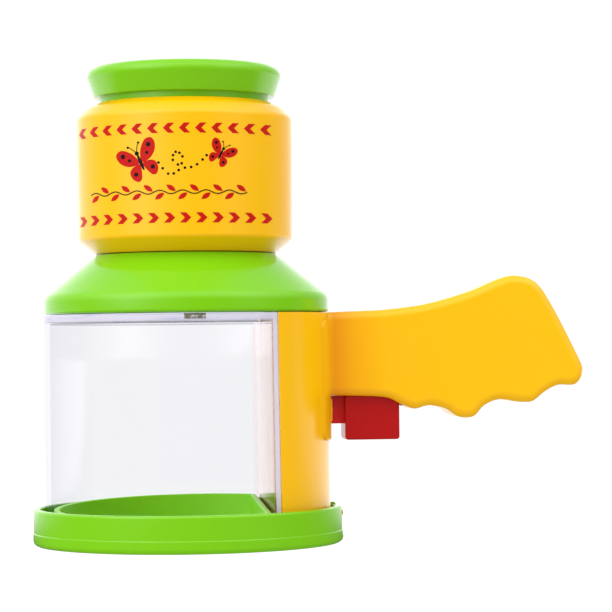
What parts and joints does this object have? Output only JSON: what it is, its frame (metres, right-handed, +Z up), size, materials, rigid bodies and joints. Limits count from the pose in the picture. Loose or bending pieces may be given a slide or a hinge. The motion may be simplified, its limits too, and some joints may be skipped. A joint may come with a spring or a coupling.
{
  "type": "bug catcher",
  "caption": "Hand-held bug catcher: clear chamber on a trap-door tray, lens barrel with sliding eyepiece above, side handle with a trigger.",
  "frame": {"origin": "Middle of the tray's flat underside, on the barrel's axis.", "axes": "+Z is up through the eyepiece, +X points along the handle, and the trigger hangs under the handle; metres."},
  "size_m": [0.1761, 0.0988, 0.1519],
  "materials": {
    "yellow_plastic": "glossy moulded yellow plastic",
    "green_plastic": "glossy moulded lime green plastic",
    "red_plastic": "satin moulded red plastic",
    "clear_plastic": "clear moulded styrene, polished",
    "white_plastic": "natural moulded acetal, hidden inside",
    "steel": "zinc plated steel"
  },
  "bodies": {
    "housing": {"chamber_window": "clear_plastic", "column_housing": "yellow_plastic", "column_back_plate": "yellow_plastic", "hinge_pin": "steel", "trigger_pivot_pin": "steel", "return_spring": "steel", "shoulder_cone": "green_plastic", "viewer_barrel": "yellow_plastic", "chamber_lens": "clear_plastic", "chamber_lens_ring": "white_plastic", "handle_shell_near": "yellow_plastic", "handle_shell_far": "yellow_plastic", "handle_screw_1": "steel", "handle_screw_2": "steel", "handle_screw_3": "steel", "handle_screw_4": "steel", "saddle_screw_1": "steel", "saddle_screw_2": "steel"},
    "door": {"door_tray": "green_plastic"},
    "trigger_lever": {"trigger": "red_plastic"},
    "rod": {"push_rod": "white_plastic"},
    "eyepiece_slider": {"eyepiece": "green_plastic", "eyepiece_lens": "clear_plastic", "eyepiece_lens_ring": "green_plastic"}
  },
  "joints": [
    {"name": "door_swing", "type": "hinge", "parent": "housing", "child": "door", "pos_m": [0.0472, 0, 0.0094], "axis": [0, -1, 0], "range_deg": [0, 60], "stiffness_Nm_per_rad": 0.0193, "springref_deg": -51.57},
    {"name": "trigger_pull", "type": "hinge", "parent": "housing", "child": "trigger_lever", "pos_m": [0.0425, 0, 0.042], "axis": [0, -1, 0], "range_deg": [0, 25.6]},
    {"name": "push_rod_slide", "type": "slide", "parent": "housing", "child": "rod", "axis": [0, 0, -1], "range_m": [0, 0.00421], "deforming": ["return_spring"]},
    {"name": "eyepiece_focus", "type": "slide", "parent": "housing", "child": "eyepiece_slider", "axis": [0, 0, 1], "range_m": [-0.0017, 0.01]}
  ],
  "couplings": [
    {"joint": "trigger_pull", "follows": "door_swing", "ratio": 0.42572},
    {"joint": "push_rod_slide", "follows": "door_swing", "m_per_rad": 0.0040107}
  ]
}
